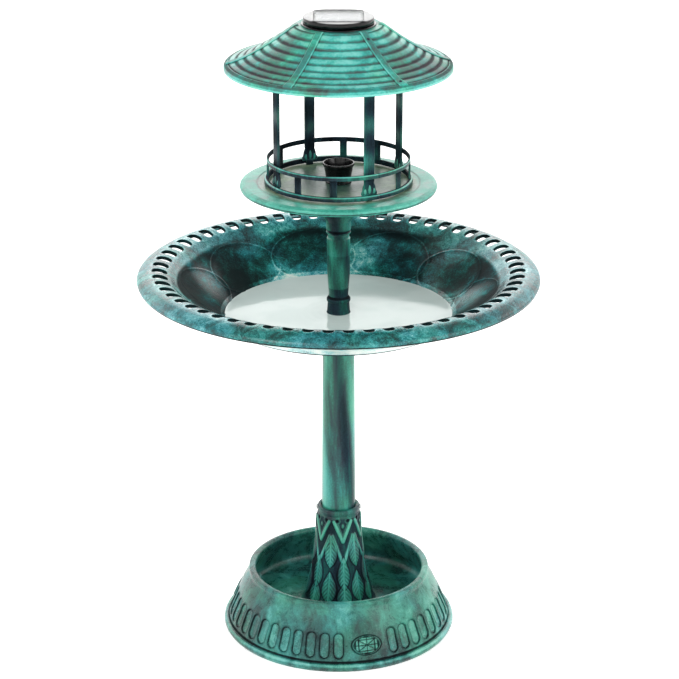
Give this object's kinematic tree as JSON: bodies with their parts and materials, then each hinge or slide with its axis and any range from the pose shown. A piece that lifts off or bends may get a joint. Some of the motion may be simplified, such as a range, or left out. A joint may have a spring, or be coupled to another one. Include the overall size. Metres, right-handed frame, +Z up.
{
  "type": "bird bath",
  "caption": "Garden bird bath with a planter base, a pole, a wide pierced-rim basin and a roofed seed feeder with a solar light.",
  "frame": {"origin": "centre of the base's foot, on the ground", "axes": "+Z up along the pole, -Y towards the front"},
  "size_m": [0.6402, 0.6402, 1.027],
  "materials": {
    "planter_patina": "antiqued green resin, satin",
    "dark_patina": "dark antiqued green resin, satin",
    "basin_patina": "antiqued green resin with a rubbed rim, satin",
    "tray_patina": "rubbed green resin with a buff middle, satin",
    "roof_patina": "antiqued green resin, satin",
    "black_plastic": "glossy black moulding",
    "rubber_seal": "soft rubber",
    "steel_screw": "zinc-plated",
    "blackened_screw": "blackened steel",
    "silicon_cell": "grey-blue silicon wafer",
    "clear_panel": "clear polycarbonate",
    "frosted_lens": "frosted",
    "board_green": "solder mask",
    "led_white": "clear epoxy over a phosphor",
    "battery_wrap": "shrink wrap",
    "water_layer": "still water"
  },
  "bodies": {
    "stand": {"base_planter": "planter_patina", "leaf_collar": "dark_patina", "collar_screws": "steel_screw", "lower_pole": "dark_patina", "pole_screws": "steel_screw", "pole_top_plug": "black_plastic", "basin": "basin_patina", "water": "water_layer", "hub_seal": "rubber_seal", "basin_hub": "dark_patina"},
    "feeder_station": {"upper_pole": "dark_patina", "tray_socket": "dark_patina", "socket_screws": "steel_screw", "feeder_tray": "tray_patina", "tray_post_screws": "steel_screw", "roof_post_screws": "steel_screw", "rail_pins": "steel_screw", "roof": "roof_patina", "roof_crown": "roof_patina", "roof_rib_screws": "blackened_screw", "post_1": "dark_patina", "post_2": "dark_patina", "post_3": "dark_patina", "post_4": "dark_patina", "railing_1": "dark_patina", "railing_2": "dark_patina", "railing_3": "dark_patina", "railing_4": "dark_patina"},
    "seed_cup": {"feeder_cup": "black_plastic"},
    "light_mount": {"light_collar": "black_plastic"},
    "solar_light": {"light_cap": "black_plastic", "light_housing": "black_plastic", "light_seal": "rubber_seal", "solar_cell": "silicon_cell", "panel_window": "clear_panel", "circuit_board": "board_green", "led": "led_white", "led_lens": "frosted_lens", "battery": "battery_wrap", "battery_contacts": "steel_screw", "light_bottom_cover": "black_plastic", "cover_screws": "steel_screw", "switch_body": "black_plastic"},
    "switch_knob": {"power_switch": "black_plastic"}
  },
  "joints": [
    {"name": "station_lift", "type": "slide", "parent": "stand", "child": "feeder_station", "axis": [0, 0, 1], "range_m": [0, 0.04]},
    {"name": "cup_lift", "type": "slide", "parent": "feeder_station", "child": "seed_cup", "axis": [0, 0, 1], "range_m": [0, 0.06]},
    {"name": "light_lift", "type": "slide", "parent": "feeder_station", "child": "light_mount", "axis": [0, 0, 1], "range_m": [0, 0.05]},
    {"name": "light_twist", "type": "hinge", "parent": "light_mount", "child": "solar_light", "pos_m": [0, 0, 1], "axis": [0, 0, 1], "range_deg": [0, 30]},
    {"name": "switch_slide", "type": "slide", "parent": "solar_light", "child": "switch_knob", "axis": [1, 0, 0], "range_m": [0, 0.003]}
  ]
}
